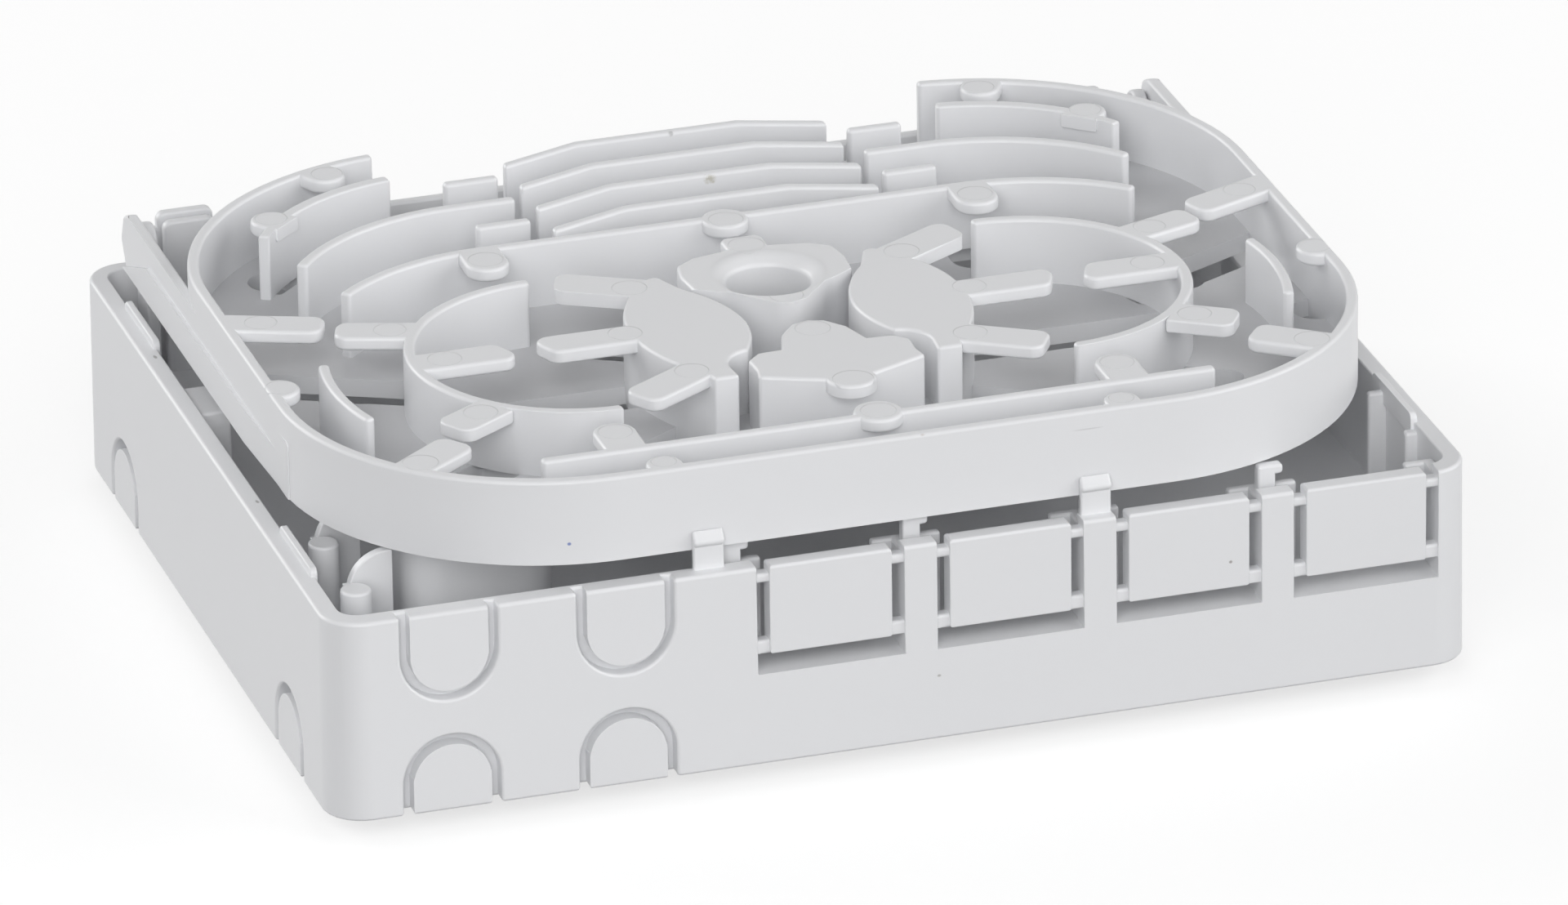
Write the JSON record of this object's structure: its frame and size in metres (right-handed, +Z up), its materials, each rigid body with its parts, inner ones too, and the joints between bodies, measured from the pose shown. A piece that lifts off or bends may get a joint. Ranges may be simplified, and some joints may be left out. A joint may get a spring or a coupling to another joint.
{
  "type": "din rail fibre box",
  "caption": "Open fibre splice box for a rail: a shallow box with four ports and cable knock-outs, and a hinged splice tray with winding rings.",
  "frame": {"origin": "middle of the footprint, at the lowest face of the rail hooks", "axes": "+X along the front wall from the cable knock-outs to the ports, +Y from the port wall to the hinge wall, +Z up out of the open box"},
  "size_m": [0.1606, 0.1274, 0.0467],
  "materials": {
    "box_plastic": "light grey-white moulded plastic, fine satin",
    "tray_plastic": "light grey-white moulded plastic, satin",
    "foot_plastic": "light grey-white moulded plastic",
    "screw_steel": "zinc plated"
  },
  "bodies": {
    "box": {"base_box": "box_plastic", "rail_foot": "foot_plastic", "foot_screw_1": "screw_steel", "foot_screw_2": "screw_steel", "foot_screw_3": "screw_steel", "foot_screw_4": "screw_steel"},
    "tray": {"splice_tray": "tray_plastic"},
    "latch": {"din_latch": "foot_plastic"}
  },
  "joints": [
    {"name": "tray_hinge", "type": "hinge", "parent": "box", "child": "tray", "pos_m": [0, 0.055, 0.0382], "axis": [-1, 0, 0], "range_deg": [0, 90]},
    {"name": "latch_slide", "type": "slide", "parent": "box", "child": "latch", "axis": [0, -1, 0], "range_m": [0, 0.0035]}
  ]
}
